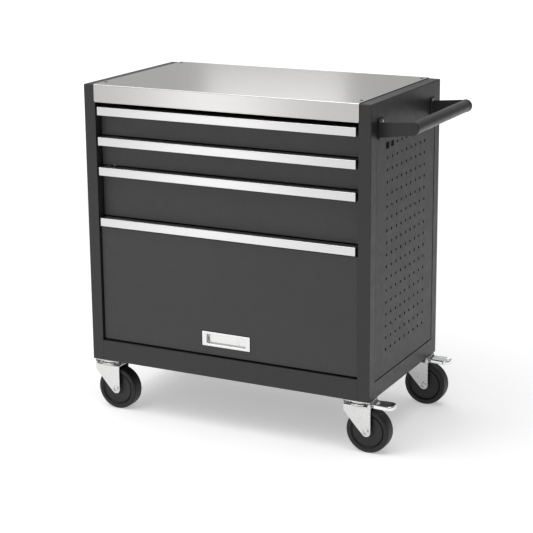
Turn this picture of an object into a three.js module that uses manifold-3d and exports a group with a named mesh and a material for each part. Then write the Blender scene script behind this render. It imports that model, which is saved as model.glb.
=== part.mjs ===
// Rolling tool chest: a folded sheet-steel cabinet on four swivel casters, with three drawers on
// two-member slides, a lift-up door that slides back into the lower compartment, perforated side
// panels, a sheet worktop and a push handle on the right side.
//
// Millimetres. +X is the chest's right, +Y its back, +Z up; the floor is z = 0 and the origin is
// under the middle of the whole object, handle included. Cabinet pieces are placed in the cabinet
// group, whose own origin is the cabinet's left front bottom corner, and caster pieces in one
// group for each caster, whose origin is on the floor under its swivel axis.
import * as THREE from "three";
import { mergeVertices } from "three/addons/utils/BufferGeometryUtils.js";
import Module from "manifold-3d";

// Cabinet
const WIDTH = 670;
const DEPTH = 374;
const HEIGHT = 618;
const SKIN = 1.5; // thickness of the outer sheet
const SHEET = 1.2; // thickness of the inner sheets
const GAP = 0.3; // gap between two fixed pieces that meet
const POST_WIDTH = 27; // width of the corner posts, folded from the side panels
const POST_RETURN = 30; // how far a post's inner flange runs back
const BASE_HEIGHT = 46.5;

// Drawers and door, as heights down from the cabinet's top
const FIRST_TOP = 47.5; // top of the first pull bar
const SMALL_PITCH = 65.8; // from one pull bar to the next, for the two shallow drawers
const DEEP_PITCH = 112.6; // the same for the deep drawer
const FRONT_GAP = 2.5; // gap between neighbouring fronts
const DRAWER_RECESS = 19; // how far the drawer fronts sit behind the posts
const DRAWER_SIDE_GAP = 2.5;
const BAR_HEIGHT = 18.5;
const BAR_PROUD = 1.5;
const BAR_SIDE_GAP = 5.8;
const DOOR_RECESS = 6;
const DOOR_THICKNESS = 14;
const DOOR_SIDE_GAP = 2;
const DOOR_AXIS_DROP = 20; // the pivot's distance below the door's top edge
const DOOR_BOTTOM_GAP = 3;

// Slides
const SLIDE_HEIGHT = 35;
const SLIDE_START = 24;
const SLIDE_LENGTH = 326;
const TRAY_INSET = 40.7; // distance from the cabinet's side to a tray's wall
const TRAY_BACK = 352;

// Perforated side panels
const WINDOW_MARGIN = 28; // sheet left at the front and back of the window
const WINDOW_TOP = 76; // from the cabinet's top
const WINDOW_BOTTOM = 36.5; // from the cabinet's bottom
const WINDOW_FOOT_GAP = 2.5; // open gap under the panel
const PEG_PITCH = 25.4;
const PEG_COLUMNS = 9;
const PEG_ROWS = 18;
const PEG_FIRST_ROW = 95; // from the cabinet's top
const PEG_HOLE = 6.4;

// Worktop
const TOP_THICKNESS = 1.5;
const TOP_LAP = 1; // how far it laps over each post
const TOP_FRONT_FLANGE = 36;
const TOP_BACK_FLANGE = 20;
const TOP_CLEARANCE = 0.2;

// Handle
const HANDLE_REACH = 73; // from the side panel to the tube's axis
const HANDLE_DROP = 48; // from the cabinet's top to the tube's axis
const TUBE_RADIUS = 13;
const TUBE_WALL = 1.6;
const EYE_RADIUS = 14.3;
const EYE_LENGTH = 13;
const BRACKET_INSET = 34; // from the cabinet's front or back to the bracket
const FOOT_WIDTH = 24;
const FOOT_TOP = 37; // from the cabinet's top
const FOOT_BOTTOM = 75;

// Casters
const CASTER_HEIGHT = 114;
const WHEEL_RADIUS = 47.5;
const WHEEL_WIDTH = 30;
const HUB_WIDTH = 33;
const TRAIL = 21.5; // from the swivel axis to the axle
const CASTER_INSET_X = 31;
const CASTER_INSET_Y = 26;
const PLATE_HALF_X = 30.7;
const PLATE_HALF_Y = 26;
const PLATE_THICKNESS = 3;
const FORK_TOP = 102;
const FORK_FRONT = 31; // from the swivel axis to the fork's edge away from the axle
const FORK_PLATE = 2.8;
const FORK_INNER = 18; // from the wheel's middle to the inside of a leg
const FORK_LEG = 2.5;
const AXLE_RADIUS = 5;
const PEDAL_X = 28; // the brake pivot, from the swivel axis
const PEDAL_Z = 106.3;
const PEDAL_REACH = 79; // from the swivel axis to the tread's far end

// Where the cabinet stands
const HANDLE_OVERHANG = HANDLE_REACH + EYE_RADIUS;
const LEFT = -(WIDTH + HANDLE_OVERHANG) / 2;
const FRONT = -DEPTH / 2;

const wasm = await Module();
wasm.setup();

// ---- solids ----

function solidFrom(geometry) {
  geometry.deleteAttribute("normal");
  geometry.deleteAttribute("uv");
  const merged = mergeVertices(geometry, 1e-4);
  return new wasm.Manifold(
    new wasm.Mesh({
      numProp: 3,
      vertProperties: merged.getAttribute("position").array,
      triVerts: new Uint32Array(merged.index.array),
    }),
  );
}

function geometryFrom(solid) {
  const mesh = solid.getMesh();
  const geometry = new THREE.BufferGeometry();
  geometry.setAttribute("position", new THREE.BufferAttribute(mesh.vertProperties, 3));
  geometry.setIndex(new THREE.BufferAttribute(mesh.triVerts, 1));
  geometry.computeVertexNormals();
  return geometry;
}

function box([x0, x1], [y0, y1], [z0, z1]) {
  const geometry = new THREE.BoxGeometry(Math.abs(x1 - x0), y1 - y0, z1 - z0);
  geometry.translate((x0 + x1) / 2, (y0 + y1) / 2, (z0 + z1) / 2);
  return solidFrom(geometry);
}

const AXES = {
  x: new THREE.Vector3(1, 0, 0),
  y: new THREE.Vector3(0, 1, 0),
  z: new THREE.Vector3(0, 0, 1),
};

// An outline pushed along one axis, from start to end. Its own two directions are (y, z) for
// axis x, (x, z) for axis y and (x, y) for axis z.
function prism(shape, axis, start, end, curveSegments = 10) {
  const depth = end - start;
  const geometry = new THREE.ExtrudeGeometry(shape, { depth, bevelEnabled: false, curveSegments });
  const matrix = new THREE.Matrix4();
  if (axis === "x") {
    matrix.makeBasis(AXES.y, AXES.z, AXES.x).setPosition(start, 0, 0);
  } else if (axis === "y") {
    matrix.makeBasis(AXES.x, AXES.z, AXES.y.clone().negate()).setPosition(0, end, 0);
  } else {
    matrix.setPosition(0, 0, start);
  }
  geometry.applyMatrix4(matrix);
  return solidFrom(geometry);
}

function outline(points) {
  return new THREE.Shape(points.map(([a, b]) => new THREE.Vector2(a, b)));
}

// A round rod along an axis; centre holds its place across that axis, in X, Y, Z order.
function rod(radius, axis, [a, b], start, end, segments = 24) {
  const geometry = new THREE.CylinderGeometry(radius, radius, end - start, segments);
  const middle = (start + end) / 2;
  if (axis === "x") {
    geometry.rotateZ(Math.PI / 2).translate(middle, a, b);
  } else if (axis === "y") {
    geometry.translate(a, middle, b);
  } else {
    geometry.rotateX(Math.PI / 2).translate(a, b, middle);
  }
  return solidFrom(geometry);
}

const join = (solids) => solids.reduce((whole, piece) => whole.add(piece));
const cut = (solid, holes) => (holes.length ? solid.subtract(join(holes)) : solid);

// ---- materials ----

const FINISHES = {
  charcoal: { color: 0x46484a, roughness: 0.5, metalness: 0.1 },
  panel: { color: 0x5a5a5b, roughness: 0.5, metalness: 0.1 },
  stainless: { color: 0xb9b8b6, roughness: 0.35, metalness: 0.9 },
  aluminium: { color: 0xdadcde, roughness: 0.35, metalness: 0.8 },
  zinc: { color: 0xc4c6c8, roughness: 0.3, metalness: 0.85 },
  chrome: { color: 0xd8dadc, roughness: 0.12, metalness: 1.0 },
  rubber: { color: 0x242425, roughness: 0.75, metalness: 0.0 },
  black: { color: 0x1b1b1c, roughness: 0.6, metalness: 0.0 },
};

function addPart(parent, name, finish, solid) {
  const mesh = new THREE.Mesh(geometryFrom(solid), new THREE.MeshStandardMaterial(FINISHES[finish]));
  mesh.name = name;
  parent.add(mesh);
}

// ---- cabinet ----

const SIDES = [
  { name: "left", at: (x) => x },
  { name: "right", at: (x) => WIDTH - x },
];
const sideBox = (side, [x0, x1], y, z) => box([side.at(x0), side.at(x1)], y, z);

const barTops = [0, 1, 2].map((n) => FIRST_TOP + n * SMALL_PITCH);
const headerTop = barTops[2] + DEEP_PITCH;
const doorTop = HEIGHT - headerTop - BAR_HEIGHT - FRONT_GAP;
const doorBottom = BASE_HEIGHT + DOOR_BOTTOM_GAP;
const doorAxisY = DOOR_RECESS + DOOR_THICKNESS / 2;
const doorAxisZ = doorTop - DOOR_AXIS_DROP;
const inner = POST_WIDTH + GAP; // the first free place beside a post
const between = [inner, WIDTH - inner];

function sidePanel(side) {
  const full = [0, DEPTH];
  const whole = join([
    sideBox(side, [0, SKIN], full, [0, HEIGHT]),
    sideBox(side, [0, POST_WIDTH], [0, SKIN], [0, HEIGHT]),
    sideBox(side, [POST_WIDTH - SKIN, POST_WIDTH], [0, POST_RETURN], [0, HEIGHT]),
    sideBox(side, [0, POST_WIDTH], [DEPTH - SKIN, DEPTH], [0, HEIGHT]),
    sideBox(side, [POST_WIDTH - SKIN, POST_WIDTH], [DEPTH - POST_RETURN, DEPTH], [0, HEIGHT]),
    sideBox(side, [0, POST_WIDTH], full, [HEIGHT - SKIN, HEIGHT]),
    sideBox(side, [0, POST_WIDTH], full, [0, SKIN]),
  ]);
  const pinSlot = 3.2; // half height of the slot that the door's pin runs through
  return cut(whole, [
    sideBox(side, [-1, SKIN + 1], [WINDOW_MARGIN, DEPTH - WINDOW_MARGIN], [WINDOW_BOTTOM, HEIGHT - WINDOW_TOP]),
    sideBox(
      side,
      [POST_WIDTH - SKIN - 1, POST_WIDTH + 1],
      [DOOR_RECESS + 2, POST_RETURN + 1],
      [doorAxisZ - pinSlot, doorAxisZ + pinSlot],
    ),
  ]);
}

// Fills the side panel's window: a perforated sheet with its front and back edges folded in.
function pegPanel(side) {
  const edge = 0.6; // gap round the panel
  const recess = 0.5;
  const fold = 9.5;
  const front = WINDOW_MARGIN + edge;
  const back = DEPTH - WINDOW_MARGIN - edge;
  const z = [WINDOW_BOTTOM + WINDOW_FOOT_GAP, HEIGHT - WINDOW_TOP - edge];
  const holes = [];
  for (let column = 0; column < PEG_COLUMNS; column += 1) {
    const y = DEPTH / 2 + (column - (PEG_COLUMNS - 1) / 2) * PEG_PITCH;
    for (let row = 0; row < PEG_ROWS; row += 1) {
      const height = HEIGHT - PEG_FIRST_ROW - row * PEG_PITCH;
      const half = PEG_HOLE / 2;
      holes.push(
        sideBox(side, [recess - 1, recess + SHEET + 1], [y - half, y + half], [height - half, height + half]),
      );
    }
  }
  const sheet = cut(sideBox(side, [recess, recess + SHEET], [front, back], z), holes);
  return join([
    sheet,
    sideBox(side, [recess, recess + fold], [front, front + SHEET], z),
    sideBox(side, [recess, recess + fold], [back - SHEET, back], z),
  ]);
}

function backPanel() {
  const fold = 12;
  const z = [SKIN + GAP, HEIGHT - SKIN - GAP];
  return join([
    box(between, [DEPTH - SHEET, DEPTH], z),
    ...SIDES.map((side) =>
      sideBox(side, [inner, inner + SHEET], [DEPTH - fold, DEPTH], [BASE_HEIGHT + GAP, z[1]]),
    ),
  ]);
}

// The bottom pan: floor of the compartment, front rail, and the plates that the casters bolt to.
function basePan() {
  const wall = 2; // from the cabinet's side to the pan's wall
  const mount = 90;
  const back = DEPTH - SHEET - GAP;
  const z = [0, BASE_HEIGHT];
  const inside = [POST_RETURN + GAP, DEPTH - POST_RETURN - GAP];
  return join([
    box(between, [0, back], [BASE_HEIGHT - SHEET, BASE_HEIGHT]),
    box([wall, WIDTH - wall], inside, [BASE_HEIGHT - SHEET, BASE_HEIGHT]),
    box(between, [0, SHEET], z),
    box(between, [back - SHEET, back], z),
    ...SIDES.flatMap((side) => [
      sideBox(side, [wall, wall + SHEET], inside, [SKIN + GAP, BASE_HEIGHT]),
      sideBox(side, [inner, mount], [0, back], [0, 2 * SHEET]),
    ]),
  ]);
}

// The shelf between the drawers and the lower compartment, with the flange behind the header bar.
function dividerShelf() {
  const wall = 2;
  const fold = 12;
  const top = HEIGHT - headerTop - 6.5;
  const inside = [POST_RETURN + GAP, DEPTH - POST_RETURN - GAP];
  const sheet = [top - SHEET, top];
  const face = POST_WIDTH + DRAWER_SIDE_GAP;
  return join([
    box([wall, WIDTH - wall], inside, sheet),
    box([face, WIDTH - face], [DRAWER_RECESS, DEPTH - SHEET - GAP], sheet),
    box(
      [face, WIDTH - face],
      [DRAWER_RECESS, DRAWER_RECESS + SHEET],
      [HEIGHT - headerTop - BAR_HEIGHT, HEIGHT - headerTop],
    ),
    ...SIDES.map((side) => sideBox(side, [wall, wall + SHEET], inside, [top - fold, top])),
  ]);
}

function topRail() {
  const y = DRAWER_RECESS + 1;
  const drop = 40; // the rail's lower edge, from the cabinet's top
  const z = [HEIGHT - drop, HEIGHT - SKIN - GAP];
  return join([
    box(between, [y, y + SHEET], z),
    box(between, [y, y + 20], [z[0], z[0] + SHEET]),
    box(between, [y, y + 24], [z[1] - SHEET, z[1]]),
  ]);
}

function worktop() {
  const x = [POST_WIDTH - TOP_LAP, WIDTH - POST_WIDTH + TOP_LAP];
  const top = HEIGHT + TOP_CLEARANCE + TOP_THICKNESS;
  const front = -TOP_CLEARANCE - TOP_THICKNESS;
  const back = DEPTH + TOP_CLEARANCE + TOP_THICKNESS;
  return join([
    box(x, [front, back], [top - TOP_THICKNESS, top]),
    box(x, [front, front + TOP_THICKNESS], [HEIGHT - TOP_FRONT_FLANGE, top]),
    box(x, [back - TOP_THICKNESS, back], [HEIGHT - TOP_BACK_FLANGE, top]),
  ]);
}

// A full-width pull bar, hung from height top: a box open underneath, whose front wall and
// curled lip leave a groove for the fingers.
function pullBar(top) {
  const lip = 2;
  const web = 1.6;
  const curl = 3;
  const front = -BAR_PROUD;
  const back = DRAWER_RECESS - GAP;
  const low = top - BAR_HEIGHT;
  const groove = outline([
    [front + lip, top - web],
    [back - web, top - web],
    [back - web, low - 1],
    [front + lip + curl, low - 1],
    [front + lip + curl, low + web],
    [front + lip, low + web],
  ]);
  const end = POST_WIDTH + BAR_SIDE_GAP;
  return cut(box([end, WIDTH - end], [front, back], [low, top]), [
    prism(groove, "x", end + SHEET, WIDTH - end - SHEET),
  ]);
}

// ---- handle ----

const handleX = WIDTH + HANDLE_REACH;
const handleZ = HEIGHT - HANDLE_DROP;
const ENDS = [
  { name: "front", at: (y) => y },
  { name: "rear", at: (y) => DEPTH - y },
];
const spanOf = (end, a, b) => [end.at(a), end.at(b)].sort((p, q) => p - q);

// An angle bracket: a foot on the side panel, and an arm that ends in an eye round the tube.
function handleBracket(end) {
  const foot = 3;
  const arm = 6;
  const near = BRACKET_INSET;
  const face = WIDTH + GAP;
  const armTop = HEIGHT - FOOT_TOP - 8;
  const armBottom = HEIGHT - FOOT_BOTTOM + 3.5;
  const armOutline = outline([
    [face, armBottom],
    [handleX, handleZ - EYE_RADIUS + 0.5],
    [handleX, handleZ + EYE_RADIUS - 1.5],
    [face, armTop],
  ]);
  const eye = spanOf(end, near, near + EYE_LENGTH);
  const bore = rod(TUBE_RADIUS + GAP, "y", [handleX, handleZ], eye[0] - 1, eye[1] + 1, 32);
  const whole = join([
    box([face, face + foot], spanOf(end, near, near + FOOT_WIDTH), [HEIGHT - FOOT_BOTTOM, HEIGHT - FOOT_TOP]),
    prism(armOutline, "y", ...spanOf(end, near, near + arm)),
    rod(EYE_RADIUS, "y", [handleX, handleZ], ...eye, 32),
  ]);
  return cut(whole, [bore]);
}

function handleTube() {
  const start = BRACKET_INSET + 0.5;
  const place = [handleX, handleZ];
  const bore = rod(TUBE_RADIUS - TUBE_WALL, "y", place, start - 1, DEPTH - start + 1, 32);
  return cut(rod(TUBE_RADIUS, "y", place, start, DEPTH - start, 32), [bore]);
}

function handleCap(end) {
  const radius = TUBE_RADIUS - TUBE_WALL - GAP;
  return rod(radius, "y", [handleX, handleZ], ...spanOf(end, BRACKET_INSET + 0.5, BRACKET_INSET + 12));
}

// ---- drawer slides and door tracks ----

const slideSpan = [SLIDE_START, SLIDE_START + SLIDE_LENGTH];

function slideOuter(side, z) {
  const half = SLIDE_HEIGHT / 2;
  const reach = 37;
  return join([
    sideBox(side, [inner, inner + SHEET], slideSpan, [z - half, z + half]),
    sideBox(side, [inner, reach], slideSpan, [z + half - SHEET, z + half]),
    sideBox(side, [inner, reach], slideSpan, [z - half, z - half + SHEET]),
  ]);
}

function slideInner(side, z) {
  const half = SLIDE_HEIGHT / 2 - 4.2;
  const web = TRAY_INSET - GAP;
  const reach = 30.5;
  return join([
    sideBox(side, [web - SHEET, web], slideSpan, [z - half, z + half]),
    sideBox(side, [reach, web], slideSpan, [z + half - SHEET, z + half]),
    sideBox(side, [reach, web], slideSpan, [z - half, z - half + SHEET]),
  ]);
}

const TRACK_WEB = 12; // from the cabinet's side to the track's web
const ROLLER_RADIUS = 7.6;
const PIN_RADIUS = 2.5;

function doorTrack(side) {
  const half = 9.2;
  const lip = POST_WIDTH - SKIN - GAP;
  const y = [3, 272];
  return join([
    sideBox(side, [TRACK_WEB, TRACK_WEB + SHEET], y, [doorAxisZ - half, doorAxisZ + half]),
    sideBox(side, [TRACK_WEB, lip], y, [doorAxisZ + half - SHEET, doorAxisZ + half]),
    sideBox(side, [TRACK_WEB, lip], y, [doorAxisZ - half, doorAxisZ - half + SHEET]),
  ]);
}

// The nylon roller that runs in a track, with the pin that the door turns on.
function doorGlider(side) {
  const place = [doorAxisY, doorAxisZ];
  const span = (a, b) => [side.at(a), side.at(b)].sort((p, q) => p - q);
  return join([
    rod(ROLLER_RADIUS, "x", place, ...span(TRACK_WEB + 2.5, 22.5), 20),
    rod(PIN_RADIUS, "x", place, ...span(20, 34), 12),
  ]);
}

// ---- drawers ----

const trayX = [TRAY_INSET, WIDTH - TRAY_INSET];

// height is the drawer front's; z is the height of its lower edge.
function drawerFront(z, height) {
  const edge = POST_WIDTH + DRAWER_SIDE_GAP;
  const x = [edge, WIDTH - edge];
  const y = DRAWER_RECESS;
  const folded = [y, y + 4];
  return join([
    box(x, [y, y + SHEET], [z, z + height]),
    box(x, folded, [z, z + SHEET]),
    box(x, folded, [z + height - SHEET, z + height]),
    ...SIDES.map((side) => sideBox(side, [edge, edge + SHEET], folded, [z, z + height])),
  ]);
}

function drawerTray(z, height) {
  const front = DRAWER_RECESS + SHEET + GAP;
  const bottom = z + 7;
  const top = z + height - 9;
  return cut(box(trayX, [front, TRAY_BACK], [bottom, top]), [
    box([trayX[0] + SHEET, trayX[1] - SHEET], [front + SHEET, TRAY_BACK - SHEET], [bottom + SHEET, top + 1]),
  ]);
}

// ---- door ----

const PULL_HALF_X = 57.5;
const PULL_HALF_Z = 15.8;
const TUB_HALF_X = 51.2;
const TUB_HALF_Z = 12.7;
const pullZ = HEIGHT - 533;

// A shallow folded pan with its back edges turned in.
function doorPanel() {
  const edge = POST_WIDTH + DOOR_SIDE_GAP;
  const x = [edge, WIDTH - edge];
  const y = [DOOR_RECESS, DOOR_RECESS + DOOR_THICKNESS];
  const z = [doorBottom, doorTop];
  const lip = 12;
  const shell = cut(box(x, y, z), [
    box([x[0] + SHEET, x[1] - SHEET], [y[0] + SHEET, y[1] - SHEET], [z[0] + SHEET, z[1] - SHEET]),
    box([x[0] + lip, x[1] - lip], [y[1] - SHEET - 1, y[1] + 1], [z[0] + lip, z[1] - lip]),
  ]);
  const tub = 0.4; // clearance round the pull's tub
  const pinHole = rod(PIN_RADIUS + 0.4, "x", [doorAxisY, doorAxisZ], x[0] - 1, x[1] + 1, 12);
  return cut(shell, [
    box(
      [WIDTH / 2 - TUB_HALF_X - tub, WIDTH / 2 + TUB_HALF_X + tub],
      [y[0] - 1, y[0] + SHEET + 1],
      [pullZ - TUB_HALF_Z - tub, pullZ + TUB_HALF_Z + tub],
    ),
    pinHole,
  ]);
}

// A recessed pull: a flat rim with a tub for the fingers.
function doorPull() {
  const rim = 1.2;
  const front = DOOR_RECESS - GAP - rim;
  const back = DOOR_RECESS + DOOR_THICKNESS - 3;
  const middle = WIDTH / 2;
  return cut(
    join([
      box(
        [middle - PULL_HALF_X, middle + PULL_HALF_X],
        [front, front + rim],
        [pullZ - PULL_HALF_Z, pullZ + PULL_HALF_Z],
      ),
      box(
        [middle - TUB_HALF_X, middle + TUB_HALF_X],
        [front, back],
        [pullZ - TUB_HALF_Z, pullZ + TUB_HALF_Z],
      ),
    ]),
    [
      box(
        [middle - TUB_HALF_X + rim, middle + TUB_HALF_X - rim],
        [front - 1, back - rim],
        [pullZ - TUB_HALF_Z + rim, pullZ + TUB_HALF_Z - rim],
      ),
    ],
  );
}

// ---- casters ----

const plateTop = CASTER_HEIGHT - GAP;
const plateBottom = plateTop - PLATE_THICKNESS;
const KINGPIN_RADIUS = 6;

function casterPlate() {
  return cut(box([-PLATE_HALF_X, PLATE_HALF_X], [-PLATE_HALF_Y, PLATE_HALF_Y], [plateBottom, plateTop]), [
    rod(KINGPIN_RADIUS + 0.4, "z", [0, 0], plateBottom - 1, plateTop + 1, 16),
  ]);
}

// One leg's outline, in X and Z: square at the top, slanting in to a round end about the axle.
function legOutline() {
  const round = 10;
  const shape = new THREE.Shape();
  const slant = (128 * Math.PI) / 180 + Math.PI / 2; // where the slanting edge meets the round end
  shape.moveTo(TRAIL + round, FORK_TOP);
  shape.lineTo(-FORK_FRONT, FORK_TOP);
  shape.lineTo(-FORK_FRONT, WHEEL_RADIUS + 40);
  shape.absarc(TRAIL, WHEEL_RADIUS, round, slant, 2 * Math.PI, false);
  shape.closePath();
  return shape;
}

// The fork with its raceway and kingpin. A fork with a brake has two ears for the pedal's pins.
function casterFork(braked) {
  const outer = FORK_INNER + FORK_LEG;
  const legs = [-1, 1].map((way) => {
    const span = [way * FORK_INNER, way * outer].sort((p, q) => p - q);
    return { span, leg: prism(legOutline(), "y", ...span, 8) };
  });
  const pieces = [
    ...legs.map((l) => l.leg),
    box([-FORK_FRONT, TRAIL + 6], [-outer, outer], [FORK_TOP - FORK_PLATE, FORK_TOP]),
    rod(24, "z", [0, 0], FORK_TOP - 1, plateBottom - GAP, 28),
    rod(KINGPIN_RADIUS, "z", [0, 0], plateBottom - 1, plateTop - GAP, 16),
  ];
  const holes = [rod(AXLE_RADIUS + GAP, "y", [TRAIL, WHEEL_RADIUS], -outer - 1, outer + 1, 16)];
  if (braked) {
    const ear = [PEDAL_X - 3.5, PEDAL_X + 3.5];
    legs.forEach((l) => pieces.push(box(ear, l.span, [FORK_TOP - 1, PEDAL_Z + 3.3])));
    holes.push(rod(2.1, "y", [PEDAL_X, PEDAL_Z], -outer - 1, outer + 1, 10));
  }
  return cut(join(pieces), holes);
}

function casterAxle() {
  const end = FORK_INNER + FORK_LEG + 0.3;
  const head = 2.6;
  const place = [TRAIL, WHEEL_RADIUS];
  return join([
    rod(AXLE_RADIUS, "y", place, -end - 1, end + 1, 16),
    rod(AXLE_RADIUS + 3, "y", place, -end - head, -end, 16),
    rod(AXLE_RADIUS + 3, "y", place, end, end + head, 16),
  ]);
}

function casterWheel() {
  const half = WHEEL_WIDTH / 2;
  const hub = HUB_WIDTH / 2;
  const bore = AXLE_RADIUS + 0.35;
  const side = [
    [bore, hub],
    [13, hub],
    [35, half - 3],
    [37.5, half],
    [WHEEL_RADIUS, half - 3.5],
  ];
  const loop = [...side.map(([r, y]) => [r, y]), ...side.map(([r, y]) => [r, -y]).reverse()];
  const points = [...loop, loop[0]].map(([r, y]) => new THREE.Vector2(r, y)).reverse();
  const geometry = new THREE.LatheGeometry(points, 28);
  geometry.translate(TRAIL, 0, WHEEL_RADIUS);
  return solidFrom(geometry);
}

// The brake pedal: a barrel with two pins, a tread with its edges turned down, and the shoe that
// comes down on the tyre.
function brakePedal() {
  const place = [PEDAL_X, PEDAL_Z];
  const barrel = FORK_INNER - 0.6;
  const treadTop = PEDAL_Z + 2.4;
  const treadX = [PEDAL_X + 6.5, PEDAL_REACH];
  const half = 19;
  const thick = 2;
  const lip = 8;
  return join([
    rod(3, "y", place, -barrel, barrel, 12),
    rod(1.8, "y", place, -FORK_INNER - 2, FORK_INNER + 2, 10),
    box([PEDAL_X, treadX[0] + 1], [-16, 16], [treadTop - thick, treadTop]),
    box(treadX, [-half, half], [treadTop - thick, treadTop]),
    box(treadX, [-half, -half + thick], [treadTop - lip, treadTop]),
    box(treadX, [half - thick, half], [treadTop - lip, treadTop]),
    box([treadX[1] - thick, treadX[1]], [-half, half], [treadTop - lip / 2, treadTop]),
    box([PEDAL_X + 2, PEDAL_X + 5], [-8, 8], [96, PEDAL_Z]),
  ]);
}

// ---- assembly ----

const chest = new THREE.Group();
const cabinet = new THREE.Group();
cabinet.position.set(LEFT, FRONT, CASTER_HEIGHT);
chest.add(cabinet);

for (const side of SIDES) {
  addPart(cabinet, `side_${side.name}`, "charcoal", sidePanel(side));
  addPart(cabinet, `peg_panel_${side.name}`, "panel", pegPanel(side));
  addPart(cabinet, `door_track_${side.name}`, "zinc", doorTrack(side));
  addPart(cabinet, `door_glider_${side.name}`, "black", doorGlider(side));
}
addPart(cabinet, "back_panel", "charcoal", backPanel());
addPart(cabinet, "base_pan", "charcoal", basePan());
addPart(cabinet, "divider_shelf", "charcoal", dividerShelf());
addPart(cabinet, "header_bar", "aluminium", pullBar(HEIGHT - headerTop));
addPart(cabinet, "top_rail", "charcoal", topRail());
addPart(cabinet, "worktop", "stainless", worktop());
addPart(cabinet, "handle_tube", "charcoal", handleTube());
for (const end of ENDS) {
  addPart(cabinet, `handle_bracket_${end.name}`, "charcoal", handleBracket(end));
  addPart(cabinet, `handle_cap_${end.name}`, "black", handleCap(end));
}

barTops.forEach((drop, n) => {
  const pitch = n === 2 ? DEEP_PITCH : SMALL_PITCH;
  const height = pitch - FRONT_GAP;
  const z = HEIGHT - drop - height;
  const slideZ = z + height / 2 - 2;
  addPart(cabinet, `drawer_${n + 1}_front`, "charcoal", drawerFront(z, height));
  addPart(cabinet, `drawer_${n + 1}_tray`, "charcoal", drawerTray(z, height));
  addPart(cabinet, `drawer_${n + 1}_pull`, "aluminium", pullBar(HEIGHT - drop));
  for (const side of SIDES) {
    addPart(cabinet, `slide_${n + 1}_outer_${side.name}`, "zinc", slideOuter(side, slideZ));
    addPart(cabinet, `slide_${n + 1}_inner_${side.name}`, "zinc", slideInner(side, slideZ));
  }
});

addPart(cabinet, "door_panel", "charcoal", doorPanel());
addPart(cabinet, "door_pull", "zinc", doorPull());

for (const side of SIDES) {
  for (const end of ENDS) {
    const name = `${end.name}_${side.name}`;
    const braked = side.name === "right";
    const caster = new THREE.Group();
    caster.position.set(LEFT + side.at(CASTER_INSET_X), FRONT + end.at(CASTER_INSET_Y), 0);
    chest.add(caster);
    addPart(caster, `caster_plate_${name}`, "zinc", casterPlate());
    addPart(caster, `caster_fork_${name}`, "zinc", casterFork(braked));
    addPart(caster, `caster_axle_${name}`, "zinc", casterAxle());
    addPart(caster, `caster_wheel_${name}`, "rubber", casterWheel());
    if (braked) {
      addPart(caster, `brake_pedal_${name}`, "chrome", brakePedal());
    }
  }
}

export default chest;
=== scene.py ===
"""The looks of the rolling tool chest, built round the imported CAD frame.

Places come from the frame's own boxes. Sizes are in millimetres and mm() turns them into metres.
Folded sheets are drawn as plain faces of their outer skin; fold() rounds the folds, gives the
sheet its thickness and eases its cut edges.
"""

import math

import bmesh
import bpy
from mathutils import Matrix, Vector


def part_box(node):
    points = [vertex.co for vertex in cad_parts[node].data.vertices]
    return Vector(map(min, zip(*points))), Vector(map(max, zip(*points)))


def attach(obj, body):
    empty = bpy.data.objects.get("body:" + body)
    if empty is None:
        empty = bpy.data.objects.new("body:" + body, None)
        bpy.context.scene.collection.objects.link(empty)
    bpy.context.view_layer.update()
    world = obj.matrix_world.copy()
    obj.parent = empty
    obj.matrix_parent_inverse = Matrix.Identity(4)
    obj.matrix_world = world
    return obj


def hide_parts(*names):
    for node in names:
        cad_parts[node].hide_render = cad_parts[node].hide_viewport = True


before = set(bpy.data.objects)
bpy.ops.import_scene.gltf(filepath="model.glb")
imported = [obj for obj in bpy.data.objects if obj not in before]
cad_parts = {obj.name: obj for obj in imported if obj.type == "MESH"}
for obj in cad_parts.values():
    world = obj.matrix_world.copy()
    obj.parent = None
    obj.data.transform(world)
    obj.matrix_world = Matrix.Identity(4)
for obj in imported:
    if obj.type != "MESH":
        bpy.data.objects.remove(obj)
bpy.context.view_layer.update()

SIDES = ("left", "right")
ENDS = ("front", "rear")
DRAWERS = (1, 2, 3)


def mm(value):
    return value / 1000


# ---- places in the cabinet ----

cabinet_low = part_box("side_left")[0]
cabinet_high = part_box("side_right")[1]
WIDTH = (cabinet_high.x - cabinet_low.x) * 1000
DEPTH = (cabinet_high.y - cabinet_low.y) * 1000
HEIGHT = (cabinet_high.z - cabinet_low.z) * 1000
SKIN = 1.5
SHEET = 1.2
X_AXIS, Y_AXIS, Z_AXIS = (1, 0, 0), (0, 1, 0), (0, 0, 1)
FAR = 5000  # well outside the cabinet, to tell a sheet's outer side by
SAME_PLACE = 1e-6  # metres within which two vertices are one
CRISP = 32  # degrees from which a fold is shaded sharp


def beyond(origin, x, y, z):
    """The point x, y and z mm beyond origin, in metres."""
    return origin + Vector((mm(x), mm(y), mm(z)))


def at(x, y, z):
    """A place in the cabinet, in mm from its left front bottom corner, as a point in metres."""
    return beyond(cabinet_low, x, y, z)


def span(node):
    """A CAD node's box in the cabinet's own mm: ((x0, x1), (y0, y1), (z0, z1))."""
    low, high = ((corner - cabinet_low) * 1000 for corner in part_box(node))
    return tuple(zip(low, high))


# ---- materials ----


def node_in(tree, kind, **values):
    node = tree.nodes.new(kind)
    for key, value in values.items():
        if key in node.inputs:
            node.inputs[key].default_value = value
        else:
            setattr(node, key, value)
    return node


def noise(tree, scale, detail=3.0, stretch=(1, 1, 1)):
    """A noise pattern fixed to the piece, in cycles per metre; stretch squeezes it along an axis."""
    place = node_in(tree, "ShaderNodeTexCoord")
    mapping = node_in(tree, "ShaderNodeMapping", Scale=stretch)
    pattern = node_in(tree, "ShaderNodeTexNoise", Scale=scale, Detail=detail)
    tree.links.new(place.outputs["Object"], mapping.inputs["Vector"])
    tree.links.new(mapping.outputs["Vector"], pattern.inputs["Vector"])
    return pattern.outputs["Fac"]


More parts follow.
